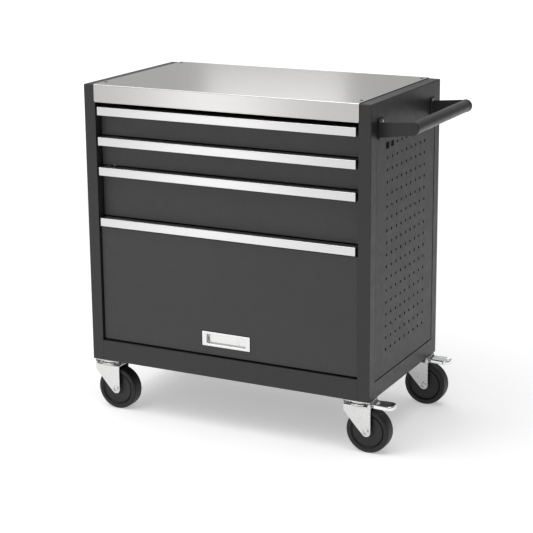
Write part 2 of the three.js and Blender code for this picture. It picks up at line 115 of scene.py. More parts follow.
def ranged(tree, value, low, high):
    """Spreads the middle of a noise pattern over low to high."""
    spread = node_in(tree, "ShaderNodeMapRange")
    for key, number in (("From Min", 0.3), ("From Max", 0.7), ("To Min", low), ("To Max", high)):
        spread.inputs[key].default_value = number
    tree.links.new(value, spread.inputs["Value"])
    return spread.outputs["Result"]


def blended(tree, factor, first, second):
    """A colour between first, which is a colour or a node's output, and second, by factor."""
    mix = node_in(tree, "ShaderNodeMix", data_type="RGBA")
    if isinstance(first, tuple):
        mix.inputs["A"].default_value = (*first, 1)
    else:
        tree.links.new(first, mix.inputs["A"])
    mix.inputs["B"].default_value = (*second, 1)
    tree.links.new(factor, mix.inputs["Factor"])
    return mix.outputs["Result"]


def multiplied(tree, first, second):
    """The product of two nodes' colours."""
    mix = node_in(tree, "ShaderNodeMix", data_type="RGBA", blend_type="MULTIPLY", Factor=1.0)
    tree.links.new(first, mix.inputs["A"])
    tree.links.new(second, mix.inputs["B"])
    return mix.outputs["Result"]


def ramp(tree, value, ends):
    """Rises smoothly from 0 to 1 as value goes from one of ends to the other."""
    rise = node_in(tree, "ShaderNodeMapRange", interpolation_type="SMOOTHSTEP")
    rise.inputs["From Min"].default_value, rise.inputs["From Max"].default_value = ends
    tree.links.new(value, rise.inputs["Value"])
    return rise.outputs["Result"]


def bumped(tree, shader, height, strength, depth):
    """Raises and sinks the surface by height, over depth in mm."""
    bump = node_in(tree, "ShaderNodeBump", Strength=strength, Distance=mm(depth))
    tree.links.new(height, bump.inputs["Height"])
    tree.links.new(bump.outputs["Normal"], shader.inputs["Normal"])


def new_material(name, metallic, specular=0.5):
    material = bpy.data.materials.new(name)
    material.use_nodes = True
    shader = material.node_tree.nodes["Principled BSDF"]
    shader.inputs["Metallic"].default_value = metallic
    shader.inputs["Specular IOR Level"].default_value = specular
    return material, material.node_tree, shader


def shaded(colour, share):
    return tuple(channel * share for channel in colour)


def grey(tone):
    return (tone, tone, tone)


def powder_coat(name, colour, roughness, specular=0.5):
    """Satin powder coat: slow drifts of tone, fine specks and the orange peel of baked powder."""
    material, tree, shader = new_material(name, metallic=0, specular=specular)
    drift = ranged(tree, noise(tree, 5), 0.0, 1.0)
    tone = blended(tree, drift, shaded(colour, 0.94), shaded(colour, 1.06))
    grain = ranged(tree, noise(tree, 1400, detail=1), 0.0, 1.0)
    specks = blended(tree, grain, grey(0.9), grey(1.1))
    tree.links.new(multiplied(tree, tone, specks), shader.inputs["Base Color"])
    tree.links.new(
        ranged(tree, noise(tree, 60), roughness - 0.04, roughness + 0.04),
        shader.inputs["Roughness"],
    )
    bumped(tree, shader, noise(tree, 900, detail=2), strength=0.25, depth=0.05)
    return material


def brushed_metal(name, colour, roughness, along, grain=0.03):
    """Metal with fine brush lines that run along one axis, 0 for X and 2 for Z."""
    material, tree, shader = new_material(name, metallic=1)
    stretch = [1.0, 1.0, 1.0]
    stretch[along] = 0.012
    lines = noise(tree, 2600, detail=3, stretch=stretch)
    tone = blended(tree, ranged(tree, lines, 0, 1), shaded(colour, 0.98), shaded(colour, 1.02))
    tree.links.new(tone, shader.inputs["Base Color"])
    tree.links.new(
        ranged(tree, lines, roughness - grain, roughness + grain), shader.inputs["Roughness"]
    )
    bumped(tree, shader, lines, strength=0.05, depth=0.02)
    return material


def plated_metal(name, colour, roughness):
    """Zinc or chrome plate: slight clouding in its tone and gloss."""
    material, tree, shader = new_material(name, metallic=1)
    clouds = noise(tree, 45, detail=4)
    tone = blended(tree, ranged(tree, clouds, 0, 1), shaded(colour, 0.97), shaded(colour, 1.02))
    tree.links.new(tone, shader.inputs["Base Color"])
    tree.links.new(
        ranged(tree, noise(tree, 130), roughness * 0.9, roughness * 1.1),
        shader.inputs["Roughness"],
    )
    bumped(tree, shader, noise(tree, 350, detail=2), strength=0.03, depth=0.05)
    return material


def moulded(name, colour, roughness, depth=0.08):
    """Rubber or nylon: a dull, finely pitted surface with faint scuffs."""
    material, tree, shader = new_material(name, metallic=0, specular=0.4)
    scuffs = ranged(tree, noise(tree, 90, detail=5), 0, 1)
    tone = blended(tree, scuffs, shaded(colour, 0.85), shaded(colour, 1.2))
    tree.links.new(tone, shader.inputs["Base Color"])
    tree.links.new(
        ranged(tree, noise(tree, 200), roughness - 0.07, roughness + 0.07),
        shader.inputs["Roughness"],
    )
    bumped(tree, shader, noise(tree, 1100, detail=2), strength=0.3, depth=depth)
    return material


FRAME_PAINT = powder_coat("frame_powder_coat", grey(0.019), 0.42, specular=0.43)
FRONT_PAINT = powder_coat("front_powder_coat", grey(0.0325), 0.48, specular=0.45)
PANEL_PAINT = powder_coat("panel_powder_coat", (0.036, 0.0335, 0.0345), 0.46, specular=0.38)
HANDLE_PAINT = powder_coat("handle_powder_coat", (0.028, 0.027, 0.027), 0.34, specular=0.28)
STEEL = brushed_metal("brushed_stainless", (0.555, 0.545, 0.535), 0.24, along=0)
ALUMINIUM = brushed_metal("satin_aluminium", grey(0.665), 0.3, along=0, grain=0.02)
ZINC = plated_metal("zinc_plate", (0.745, 0.745, 0.74), 0.24)
CASTER_ZINC = plated_metal("caster_zinc_plate", (0.67, 0.67, 0.665), 0.26)
CHROME = plated_metal("chrome_plate", (0.82, 0.83, 0.84), 0.1)
RUBBER = moulded("tyre_rubber", grey(0.007), 0.5)
WHEEL_CORE = moulded("wheel_core_plastic", (0.009, 0.009, 0.0095), 0.4, depth=0.04)
NYLON = moulded("black_nylon", (0.015, 0.015, 0.016), 0.5, depth=0.04)
# Painted shadow: near-black blocks that stand for the handle arm's shadow on the peg holes.
SHADOW_BLACK = powder_coat("painted_shadow_black", grey(0.004), 0.7, specular=0.06)
DARK_STEEL = plated_metal("dark_fastener_steel", grey(0.16), 0.35)


# ---- mesh tools ----


def piece(name, bm, body, material, replaced):
    """Turns bm into a piece that rides on body and is shown in place of the replaced CAD nodes."""
    mesh = bpy.data.meshes.new(name)
    bm.to_mesh(mesh)
    bm.free()
    mesh.materials.append(material)
    made = bpy.data.objects.new(name, mesh)
    bpy.context.scene.collection.objects.link(made)
    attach(made, body)
    if replaced:
        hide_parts(*replaced)
    return made


def bake(made, crisp=CRISP):
    """Applies the piece's modifiers, then shades it smooth up to folds of crisp degrees."""
    graph = bpy.context.evaluated_depsgraph_get()
    mesh = bpy.data.meshes.new_from_object(made.evaluated_get(graph))
    made.modifiers.clear()
    old = made.data
    made.data = mesh
    bpy.data.meshes.remove(old)
    mesh.name = made.name
    mesh.polygons.foreach_set("use_smooth", [True] * len(mesh.polygons))
    mesh.set_sharp_from_angle(angle=math.radians(crisp))
    weighted = made.modifiers.new("flat_faces_stay_flat", "WEIGHTED_NORMAL")
    weighted.keep_sharp = True
    weighted.weight = 80


def bevel(made, width, segments, angle):
    """Rounds the edges that turn by more than angle degrees, width mm wide."""
    modifier = made.modifiers.new("bevel", "BEVEL")
    modifier.width = mm(width)
    modifier.segments = segments
    modifier.limit_method = "ANGLE"
    modifier.angle_limit = math.radians(angle)
    modifier.use_clamp_overlap = True


def solid(name, bm, body, material, replaced=(), edge=0.4, segments=2, crisp=CRISP):
    """A closed piece with its edges eased."""
    bmesh.ops.remove_doubles(bm, verts=bm.verts, dist=SAME_PLACE)
    bmesh.ops.recalc_face_normals(bm, faces=bm.faces)
    made = piece(name, bm, body, material, replaced)
    if edge:
        bevel(made, edge, segments, angle=38)
    bake(made, crisp)


def fold(name, bm, outside, thickness, radius, body, material, replaced=(), edge=0.25):
    """A folded sheet. outside is a point in metres that its outer faces look towards."""
    bmesh.ops.remove_doubles(bm, verts=bm.verts, dist=SAME_PLACE)
    bmesh.ops.recalc_face_normals(bm, faces=bm.faces)
    largest = max(bm.faces, key=lambda face: face.calc_area())
    if largest.normal.dot(outside - largest.calc_center_median()) < 0:
        bmesh.ops.reverse_faces(bm, faces=bm.faces)
    made = piece(name, bm, body, material, replaced)
    bevel(made, radius, segments=4, angle=30)
    thick = made.modifiers.new("sheet", "SOLIDIFY")
    thick.thickness = mm(thickness)
    thick.offset = -1
    thick.use_even_offset = True
    bevel(made, edge, segments=2, angle=55)
    bake(made)


def face(bm, *points):
    bm.faces.new([bm.verts.new(point) for point in points])


def flat(bm, x, y, z):
    """A rectangle in the cabinet's mm. It lies across the one of x, y and z that isn't a pair."""
    spans = (x, y, z)
    first, second = (axis for axis in range(3) if isinstance(spans[axis], tuple))
    points = []
    for first_end, second_end in ((0, 0), (1, 0), (1, 1), (0, 1)):
        point = list(spans)
        point[first] = spans[first][first_end]
        point[second] = spans[second][second_end]
        points.append(at(*point))
    face(bm, *points)


def bridge(bm, rings):
    """Joins each ring of vertices to the next with four-sided faces."""
    for outer, inner in zip(rings, rings[1:]):
        for n in range(len(outer)):
            after = (n + 1) % len(outer)
            bm.faces.new((outer[n], outer[after], inner[after], inner[n]))


def round_rectangle(low, high, radius, steps=4):
    """Anticlockwise outline of a rectangle with round corners, corner by corner from low."""
    (u0, v0), (u1, v1) = low, high
    centres = (
        (u0 + radius, v0 + radius),
        (u1 - radius, v0 + radius),
        (u1 - radius, v1 - radius),
        (u0 + radius, v1 - radius),
    )
    points = []
    for corner, (u, v) in enumerate(centres):
        for step in range(steps + 1):
            angle = math.pi + (corner + step / steps) * math.pi / 2
            points.append((u + radius * math.cos(angle), v + radius * math.sin(angle)))
    return points


def windowed(bm, place, outer, inner, radius, steps=4):
    """A flat rectangle with a round-cornered window, as four faces. place turns (u, v) into a point."""
    (u0, v0), (u1, v1) = outer
    corners = [(u0, v0), (u1, v0), (u1, v1), (u0, v1)]
    hole = round_rectangle(*inner, radius, steps)
    count = len(hole)
    middle = steps // 2
    for side in range(4):
        start = side * (steps + 1) + middle
        inside = [hole[(start + n) % count] for n in range(steps + 2)]
        outline = [corners[side], corners[(side + 1) % 4], *reversed(inside)]
        face(bm, *[place(u, v) for u, v in outline])


def box(bm, x, y, z, origin=cabinet_low):
    """A box between pairs of places in mm from origin, which is the cabinet's corner if not said."""
    low, high = beyond(origin, x[0], y[0], z[0]), beyond(origin, x[1], y[1], z[1])
    size = high - low
    place = Matrix.Translation((low + high) / 2) @ Matrix.Diagonal((*size, 1))
    bmesh.ops.create_cube(bm, size=1, matrix=place)


def eased_outline(corners, steps=4):
    """Outline points from corners (u, v, radius), each turned on an arc of its own radius."""
    points = []
    for index, (u, v, radius) in enumerate(corners):
        here = Vector((u, v))
        before = Vector(corners[index - 1][:2]) - here
        after = Vector(corners[(index + 1) % len(corners)][:2]) - here
        half = before.angle(after) / 2
        if radius == 0 or abs(half - math.pi / 2) < 1e-3:
            points.append(here)
            continue
        reach = radius / math.tan(half)
        start, end = here + before.normalized() * reach, here + after.normalized() * reach
        centre = here + (before.normalized() + after.normalized()).normalized() * (
            radius / math.sin(half)
        )
        first, turn = start - centre, (end - centre).angle_signed(start - centre)
        for step in range(steps + 1):
            arm = first.copy()
            arm.rotate(Matrix.Rotation(turn * step / steps, 2))
            points.append(centre + arm)
    return points


def prism(bm, outline, place, start, end):
    """A closed outline pushed from start to end. place turns (u, v, run) into a point."""
    rings = [[bm.verts.new(place(u, v, run)) for u, v in outline] for run in (start, end)]
    bridge(bm, rings)
    bm.faces.new(rings[0])
    bm.faces.new(rings[1])


def turned(bm, profile, centre, axis, steps=48):
    """A profile of (radius, height) in mm turned about axis. It closes on itself or on the axis."""
    turn = Vector(axis).to_track_quat("Z", "Y")
    rings = []
    for radius, height in profile:
        count = steps if radius else 1
        ring = []
        for n in range(count):
            angle = 2 * math.pi * n / steps
            spot = Vector((radius * math.cos(angle), radius * math.sin(angle), height))
            ring.append(bm.verts.new(centre + turn @ (spot / 1000)))
        rings.append(ring)
    for lower, upper in zip(rings, rings[1:]):
        for n in range(steps):
            ends = [lower[n % len(lower)], lower[(n + 1) % len(lower)]]
            ends += [upper[(n + 1) % len(upper)], upper[n % len(upper)]]
            corners = list(dict.fromkeys(ends))
            if len(corners) > 2:
                bm.faces.new(corners)


def screw_head(bm, place, axis, radius, height):
    """A pan-head screw with a cross recess, standing on place along axis."""
    profile = [(0, 0), (radius, 0), (radius, height * 0.35), (radius * 0.86, height * 0.75)]
    profile += [(radius * 0.55, height), (0, height)]
    turned(bm, profile, place, axis, steps=24)
    turn = Vector(axis).to_track_quat("Z", "Y").to_matrix().to_4x4()
    for long_way, short_way in ((1.0, 0.22), (0.22, 1.0)):
        size = (mm(radius * long_way), mm(radius * short_way), mm(0.3))
        middle = Matrix.Translation(place) @ turn @ Matrix.Translation((0, 0, mm(height)))
        bmesh.ops.create_cube(bm, size=1, matrix=middle @ Matrix.Diagonal((*size, 1)))


def hexagon_head(bm, place, axis, radius, height, turn_by=0.0):
    """A hexagon bolt head or nut with its corners chamfered."""
    turn = Vector(axis).to_track_quat("Z", "Y")
    levels = [(0.93, 0.0), (1.0, 0.12), (1.0, 0.82), (0.86, 1.0)]
    rings = []
    for share, level in levels:
        ring = []
        for n in range(6):
            angle = math.pi / 3 * n + turn_by
            arm = Vector((math.cos(angle), math.sin(angle), 0)) * mm(radius * share)
            ring.append(bm.verts.new(place + turn @ (arm + Vector((0, 0, mm(height * level))))))
        rings.append(ring)
    bridge(bm, rings)
    bm.faces.new(rings[0])
    bm.faces.new(rings[-1])


# ---- stage: camera, light and floor ----


def make_camera():
    """Looks at the chest from its front right and from a little above its worktop."""
    azimuth, elevation, roll = math.radians(27.18), math.radians(14.18), math.radians(-0.5)
    distance, right_by, up_by = 5.6, 0.0092, -0.0482  # in cabinet heights
    back = Vector(
        (
            math.cos(elevation) * math.sin(azimuth),
            -math.cos(elevation) * math.cos(azimuth),
            math.sin(elevation),
        )
    )
    level = Vector((math.cos(azimuth), math.sin(azimuth), 0))
    upright = back.cross(level)
    right = level * math.cos(roll) + upright * math.sin(roll)
    up = upright * math.cos(roll) - level * math.sin(roll)
    centre = (cabinet_low + cabinet_high) / 2
    place = centre + (back * distance + right * right_by + up * up_by) * mm(HEIGHT)
    data = bpy.data.cameras.new("camera")
    data.lens = 106.42
    data.shift_y = -0.06
    data.clip_end = 50
    camera = bpy.data.objects.new("camera", data)
    camera.matrix_world = Matrix.Translation(place) @ Matrix((right, up, back)).transposed().to_4x4()
    bpy.context.scene.collection.objects.link(camera)
    bpy.context.scene.camera = camera


def softbox(name, place, aim, size, strength):
    """A soft rectangular lamp at place, facing aim. Sizes in metres; strength is its radiance."""
    lamp = bpy.data.lights.new(name, "AREA")
    lamp.shape = "RECTANGLE"
    lamp.size, lamp.size_y = size
    lamp.energy = strength * math.pi * size[0] * size[1]
    made = bpy.data.objects.new(name, lamp)
    place, aim = Vector(place), Vector(aim)
    made.matrix_world = (
        Matrix.Translation(place) @ (aim - place).to_track_quat("-Z", "Y").to_matrix().to_4x4()
    )
    bpy.context.scene.collection.objects.link(made)


def make_light():
    """A white studio that dims to the chest's right and back, with four softboxes.

    The edge softbox draws the light lines on the folds.
    """
    world = bpy.data.worlds.new("studio")
    bpy.context.scene.world = world
    world.use_nodes = True
    tree = world.node_tree
    place = node_in(tree, "ShaderNodeTexCoord")
    parts = node_in(tree, "ShaderNodeSeparateXYZ")
    tree.links.new(place.outputs["Generated"], parts.inputs["Vector"])
    rightward = ramp(tree, parts.outputs["X"], (-0.1, 0.8))
    backward = ramp(tree, parts.outputs["Y"], (0.0, 0.8))
    across = blended(tree, rightward, grey(0.74), grey(0.24))
    along = blended(tree, backward, grey(1.0), grey(0.72))
    tree.links.new(multiplied(tree, across, along), tree.nodes["Background"].inputs["Color"])
    softbox("overhead_softbox", (0.1, -0.4, 2.4), (0, 0, 0.4), (2.2, 1.6), 1.6)
    softbox("front_softbox", (-0.84, -1.6, 0.55), (-0.08, -0.19, 0.45), (0.34, 1.1), 0.95)
    softbox("rear_softbox", (-0.65, 1.25, 1.45), (-0.09, 0, 0.8), (0.44, 0.9), 0.95)
    softbox("edge_softbox", (-1.35, -1.25, 2.7), (-0.1, -0.19, 0.6), (2.6, 0.45), 3.0)
    bpy.context.scene.view_settings.view_transform = "Standard"


def make_floor():
    """A white floor that glows as painted light: more far behind the chest, and less far to the chest's
    right.
    """
    material, tree, shader = new_material("studio_floor", metallic=0, specular=0)
    place = node_in(tree, "ShaderNodeTexCoord")
    parts = node_in(tree, "ShaderNodeSeparateXYZ")
    tree.links.new(place.outputs["Object"], parts.inputs["Vector"])
    # Painted shade: to the chest's right the floor turns grey and glows less, which darkens the chest's
    # right side.
    painted_shade_right = ramp(tree, parts.outputs["X"], (0.78, 1.6))
    tone = blended(tree, ranged(tree, noise(tree, 3), 0, 1), grey(0.89), grey(0.91))
    tree.links.new(blended(tree, painted_shade_right, tone, grey(0.75)), shader.inputs["Base Color"])
    # Painted light: the glow lightens the chest's shadow on the floor and whitens the far floor.
    far = ramp(tree, parts.outputs["Y"], (0.9, 3.5))
    glow = blended(tree, far, grey(0.37), grey(0.7))
    tree.links.new(blended(tree, painted_shade_right, glow, grey(0.16)), shader.inputs["Emission Color"])
    shader.inputs["Emission Strength"].default_value = 1
    shader.inputs["Roughness"].default_value = 0.9
    bm = bmesh.new()
    bmesh.ops.create_grid(bm, x_segments=1, y_segments=1, size=12)
    mesh = bpy.data.meshes.new("floor")
    bm.to_mesh(mesh)
    bm.free()
    mesh.materials.append(material)
    floor = bpy.data.objects.new("floor", mesh)
    bpy.context.scene.collection.objects.link(floor)


make_camera()
make_light()
make_floor()


# ---- cabinet shell ----


def inward(side):
    """For a side of the cabinet, turns a distance in from its outer face into the cabinet's x."""
    return (lambda x: x) if side == "left" else (lambda x: WIDTH - x)


POST = 27
POST_RETURN = 30
PEG_PITCH = 25.4
PEG_COLUMNS = 9
PEG_ROWS = 18
PEG_FIRST_ROW = 95  # from the cabinet's top to the first row's middle
PEG_HOLE_RADIUS = 3.3
COLUMN_YS = [DEPTH / 2 + (n - (PEG_COLUMNS - 1) / 2) * PEG_PITCH for n in range(PEG_COLUMNS)]
ROW_ZS = [HEIGHT - PEG_FIRST_ROW - n * PEG_PITCH for n in range(PEG_ROWS)]


def side_panel(side):
    """One side with its corner posts: skin with a window, post faces, returns and end flanges."""
    into = inward(side)
    bm = bmesh.new()
    panel_y, panel_z = span(f"peg_panel_{side}")[1:]
    gap, gap_below, corner_radius = 1.0, 2.5, 2.5
    window = (
        (panel_y[0] - gap, panel_z[0] - gap_below),
        (panel_y[1] + gap, panel_z[1] + gap),
    )
    whole = ((0, 0), (DEPTH, HEIGHT))
    windowed(bm, lambda y, z: at(into(0), y, z), whole, window, corner_radius)
    glider_z = span(f"door_glider_{side}")[2]
    slot_half, slot_end = 3.2, 8
    slot = [sum(glider_z) / 2 + way * slot_half for way in (-1, 1)]
    for y in (0, DEPTH):
        flat(bm, (into(0), into(POST)), y, (0, HEIGHT))
    back = (DEPTH - POST_RETURN, DEPTH)
    for y, low, high in (
        ((0, POST_RETURN), 0, slot[0]),
        ((0, slot_end), slot[0], slot[1]),
        ((0, POST_RETURN), slot[1], HEIGHT),
        (back, 0, HEIGHT),
    ):
        flat(bm, into(POST), y, (low, high))
    for z in (0, HEIGHT):
        inner_edge = [at(into(POST), y, z) for y in (0, POST_RETURN, back[0], DEPTH)]
        face(bm, at(into(0), 0, z), *inner_edge, at(into(0), DEPTH, z))
    outside = at(into(-FAR), DEPTH / 2, HEIGHT / 2)
    fold(
        f"side_shell_{side}", bm, outside, SKIN, 1.8, "cabinet", FRAME_PAINT,
        [f"side_{side}"],
    )


def peg_hole_cell(bm, place, middle, half, steps=16):
    """A square of sheet, half its pitch to each side of middle, with a round hole."""
    rings = []
    for n in range(steps):
        angle = 2 * math.pi * n / steps
        u, v = math.cos(angle), math.sin(angle)
        edge = half / max(abs(u), abs(v))
        rings.append([place(middle[0] + u * r, middle[1] + v * r) for r in (PEG_HOLE_RADIUS, edge)])
    for n in range(steps):
        near, far = rings[n], rings[(n + 1) % steps]
        face(bm, near[0], near[1], far[1], far[0])


def peg_panel(side):
    """The perforated sheet in a side panel's window, with its front and back edges folded in."""
    into = inward(side)
    bm = bmesh.new()
    x, y, z = span(f"peg_panel_{side}")
    face_x = x[0] if side == "left" else WIDTH - x[1]
    fold_x = face_x + (x[1] - x[0])

    def place(v, w):
        return at(into(face_x), v, w)

    half = PEG_PITCH / 2
    for column in COLUMN_YS:
        for row in ROW_ZS:
            peg_hole_cell(bm, place, (column, row), half)
    left, right = COLUMN_YS[0] - half, COLUMN_YS[-1] + half
    low, high = ROW_ZS[-1] - half, ROW_ZS[0] + half
    step = half * math.tan(math.pi / 8)
    offsets = (-half, -step, 0, step)
    ys = [column + offset for column in COLUMN_YS for offset in offsets] + [right]
    zs = [row + offset for row in reversed(ROW_ZS) for offset in offsets] + [high]
    face(bm, place(y[0], z[0]), place(y[0], z[1]), *[place(left, w) for w in reversed(zs)])
    face(bm, place(y[1], z[1]), place(y[1], z[0]), *[place(right, w) for w in zs])
    face(bm, place(y[1], z[0]), place(y[0], z[0]), *[place(v, low) for v in ys])
    face(bm, place(y[0], z[1]), place(y[1], z[1]), *[place(v, high) for v in reversed(ys)])
    for edge_y in y:
        flat(bm, (into(face_x), into(fold_x)), edge_y, z)
    outside = at(into(-FAR), DEPTH / 2, HEIGHT / 2)
    fold(
        f"peg_sheet_{side}", bm, outside, SHEET, 1.3, "cabinet", PANEL_PAINT,
        [f"peg_panel_{side}"], edge=0.2,
    )


def handle_shadow_blocks():
    """Two black blocks in the right panel's first two holes: painted shadow of the handle's front arm.
    """
    face_x = span("peg_panel_right")[0][1]
    row = ROW_ZS[0]
    sunk, proud = 0.3, 0.5
    bm = bmesh.new()
    for column, (wide, tall) in zip(COLUMN_YS, ((15.5, 13.5), (12.5, 11.5))):
        ends = (column - wide / 2, column + wide / 2)
        box(bm, (face_x - sunk, face_x + proud), ends, (row - tall / 2, row + tall / 2))
    solid("handle_shadow_blocks", bm, "cabinet", SHADOW_BLACK, edge=0.3)


def back_panel():
    """The back sheet between the rear posts, with its sides folded in."""
    x, y, z = span("back_panel")
    bm = bmesh.new()
    back, front = y[1], y[0]
    flat(bm, x, back, z)
    for edge in x:
        flat(bm, edge, (back, front), z)
    fold(
        "back_sheet", bm, at(WIDTH / 2, FAR, HEIGHT / 2), SHEET, 1.3, "cabinet",
        FRAME_PAINT, ["back_panel"],
    )
    rivets = bmesh.new()
    inset, end_gap, gaps = 9, 20, 6
    for edge in (x[0] + inset, x[1] - inset):
        for n in range(gaps + 1):
            height = z[0] + end_gap + n * (z[1] - z[0] - 2 * end_gap) / gaps
            dome = [(0, 0), (3.2, 0), (2.9, 0.6), (1.9, 1.15), (0, 1.35)]
            turned(rivets, dome, at(edge, back - 0.05, height), Y_AXIS, steps=20)
    solid("back_rivets", rivets, "cabinet", FRAME_PAINT, edge=0)


def base_pan():
    """The floor of the lower compartment with its front and back rails and side walls."""
    x, y, z = span("base_pan")
    top = z[1]
    gap = 0.3
    post = POST + gap
    inner = (POST_RETURN + gap, DEPTH - POST_RETURN - gap)
    wide, narrow = x, (post, WIDTH - post)
    bm = bmesh.new()
    outline = [(narrow[0], y[0]), (narrow[1], y[0]), (narrow[1], inner[0]), (wide[1], inner[0])]
    outline += [(wide[1], inner[1]), (narrow[1], inner[1]), (narrow[1], y[1]), (narrow[0], y[1])]
    outline += [(narrow[0], inner[1]), (wide[0], inner[1])]
    outline += [(wide[0], inner[0]), (narrow[0], inner[0])]
    face(bm, *[at(a, b, top) for a, b in outline])
    for edge, lip in ((y[0], 12), (y[1], -12)):
        flat(bm, narrow, edge, (0, top))
        flat(bm, narrow, (edge, edge + lip), 0)
    side_low = 2
    for edge in wide:
        flat(bm, edge, inner, (side_low, top))
    fold(
        "base_tray", bm, at(WIDTH / 2, DEPTH / 2, FAR), SHEET, 2.6, "cabinet",
        FRAME_PAINT, ["base_pan"],
    )
    channels = bmesh.new()
    reach, margin, thickness = 90, SHEET + 0.2, 2.4
    for near, far in ((post, reach), (WIDTH - reach, WIDTH - post)):
        box(channels, (near, far), (margin, y[1] - margin), (0, thickness))
    solid("caster_mounting_channels", channels, "cabinet", FRAME_PAINT, edge=0.5)


def worktop():
    """The sheet top: folded down over the front and the back, with a return under the front."""
    x, y, z = span("worktop")
    front_low, top = z
    back_low = HEIGHT - 20
    inset, lip = POST + 1, 12
    screw_inset, front_row, back_row = 36, 33, DEPTH - 19
    bm = bmesh.new()
    flat(bm, x, y, top)
    flat(bm, x, y[0], (front_low, top))
    flat(bm, x, y[1], (back_low, top))
    flat(bm, (inset, WIDTH - inset), (y[0], y[0] + lip), front_low)
    fold(
        "worktop_sheet", bm, at(WIDTH / 2, DEPTH / 2, FAR), SKIN, 3.2, "cabinet",
        STEEL, ["worktop"],
    )
    screws = bmesh.new()
    for column in (screw_inset, WIDTH - screw_inset):
        for row in (front_row, back_row):
            screw_head(screws, at(column, row, top), Z_AXIS, radius=3.6, height=1.0)
    solid("worktop_screws", screws, "cabinet", DARK_STEEL, edge=0)


def pull_bar(name, body, node):
    """A full-width bar: a rounded channel open below, closed by a plate at each end."""
    x, y, z = span(node)
    (front, back), (low, high) = y, z
    lip, web, curl, plate = 2.0, 1.6, 3.0, 1.2
    corners = [
        (front, high, 1.8),
        (front, low, 1.5),
        (front + lip + curl, low, 0.3),
        (front + lip + curl, low + web, 0.3),
        (front + lip, low + web, 0.4),
        (front + lip, high - web, 0.6),
        (back - web, high - web, 0.6),
        (back - web, low, 0.3),
        (back, low, 0.3),
        (back, high, 0.5),
    ]
    bm = bmesh.new()

    def place(u, v, run):
        return at(run, u, v)

    prism(bm, eased_outline(corners), place, x[0] + plate, x[1] - plate)
    whole = [(front, high, 1.8), (front, low, 1.5), (back, low, 0.4), (back, high, 0.5)]
    for start in (x[0], x[1] - plate):
        prism(bm, eased_outline(whole), place, start, start + plate)
    solid(name, bm, body, ALUMINIUM, [node], edge=0.15)


# ---- drawers ----


def drawer_front(number):
    """The painted front: a sheet with all four edges folded back."""
    x, y, z = span(f"drawer_{number}_front")
    bm = bmesh.new()
    flat(bm, x, y[0], z)
    for edge in x:
        flat(bm, edge, y, z)
    for edge in z:
        flat(bm, x, y, edge)
    fold(
        f"drawer_{number}_face", bm, at(WIDTH / 2, -FAR, z[0]), SHEET, 1.3, f"drawer_{number}",
        FRONT_PAINT, [f"drawer_{number}_front"],
    )


def drawer_tray(number):
    """The drawer's box, folded up from one sheet."""
    x, y, z = span(f"drawer_{number}_tray")
    bm = bmesh.new()
    flat(bm, x, y, z[0])
    for edge in x:
        flat(bm, edge, y, z)
    for edge in y:
        flat(bm, x, edge, z)
    fold(
        f"drawer_{number}_box", bm, at(WIDTH / 2, DEPTH / 2, -FAR), SHEET, 1.5,
        f"drawer_{number}", FRONT_PAINT, [f"drawer_{number}_tray"],
    )


# ---- door ----


def door_panel():
    """The lift-up door: a shallow pan, its back edges turned in, with the pull's opening."""
    x, y, z = span("door_panel")
    pull_x, _, pull_z = span("door_pull")
    front, back = y
    tub_margin_x, tub_margin_z = 6.0, 2.8
    opening = (
        (pull_x[0] + tub_margin_x, pull_z[0] + tub_margin_z),
        (pull_x[1] - tub_margin_x, pull_z[1] - tub_margin_z),
    )
    bm = bmesh.new()
    windowed(bm, lambda u, v: at(u, front, v), ((x[0], z[0]), (x[1], z[1])), opening, 2)
    for edge in x:
        flat(bm, edge, y, z)
    for edge in z:
        flat(bm, x, y, edge)
    lip = 12
    inner = ((x[0] + lip, z[0] + lip), (x[1] - lip, z[1] - lip))
    windowed(bm, lambda u, v: at(u, back, v), ((x[0], z[0]), (x[1], z[1])), inner, 4)
    fold(
        "door_skin", bm, at(WIDTH / 2, -FAR, z[0]), SHEET, 1.3, "door",
        FRONT_PAINT, ["door_panel"],
    )


def door_pull():
    """A flush pull: a flat rim round a deep, round-cornered tub, edged by a thin painted shadow."""
    x, y, z = span("door_pull")
    rim_x, rim_z = 10.5, 5.0
    front, back = y
    # Each level is its inset in x and in z, its depth and its corners' radius.
    levels = [
        (0.0, 0.0, front + 1.2, 0.8),
        (0.0, 0.0, front + 0.3, 0.8),
        (0.3, 0.3, front, 0.7),
        (rim_x - 0.4, rim_z - 0.4, front, 1.2),
        (rim_x, rim_z, front + 0.4, 1.1),
        (rim_x + 0.2, rim_z + 0.2, front + 1.8, 1.1),
        (rim_x + 3.6, rim_z + 1.8, back - 3.2, 1.4),
        (rim_x + 6.0, rim_z + 3.0, back - 2.2, 1.2),
    ]
    bm = bmesh.new()
    rings = []
    for inset_x, inset_z, depth, radius in levels:
        low, high = (x[0] + inset_x, z[0] + inset_z), (x[1] - inset_x, z[1] - inset_z)
        rings.append([bm.verts.new(at(u, depth, v)) for u, v in round_rectangle(low, high, radius)])
    bridge(bm, rings)
    bm.faces.new(rings[-1])
    fold(
        "door_flush_pull", bm, at(WIDTH / 2, -FAR, z[0]), 0.9, 0.0, "door", ZINC,
        ["door_pull"], edge=0.1,
    )
    # Painted shadow: a thin black frame just behind the rim stands for the rim's shadow on the door.
    painted_shadow_outline = bmesh.new()
    margin, depth = 1.6, (front + 1.0, front + 1.45)
    left, right = x[0] - margin, x[1] + margin
    inner_z = (z[0] + 2, z[1] - 2)
    for rows in ((z[0] - margin, inner_z[0]), (inner_z[1], z[1] + margin)):
        box(painted_shadow_outline, (left, right), depth, rows)
    for columns in ((left, x[0] + 4), (x[1] - 4, right)):
        box(painted_shadow_outline, columns, depth, inner_z)
    solid("door_pull_gasket", painted_shadow_outline, "door", NYLON, edge=0)


# ---- handle ----


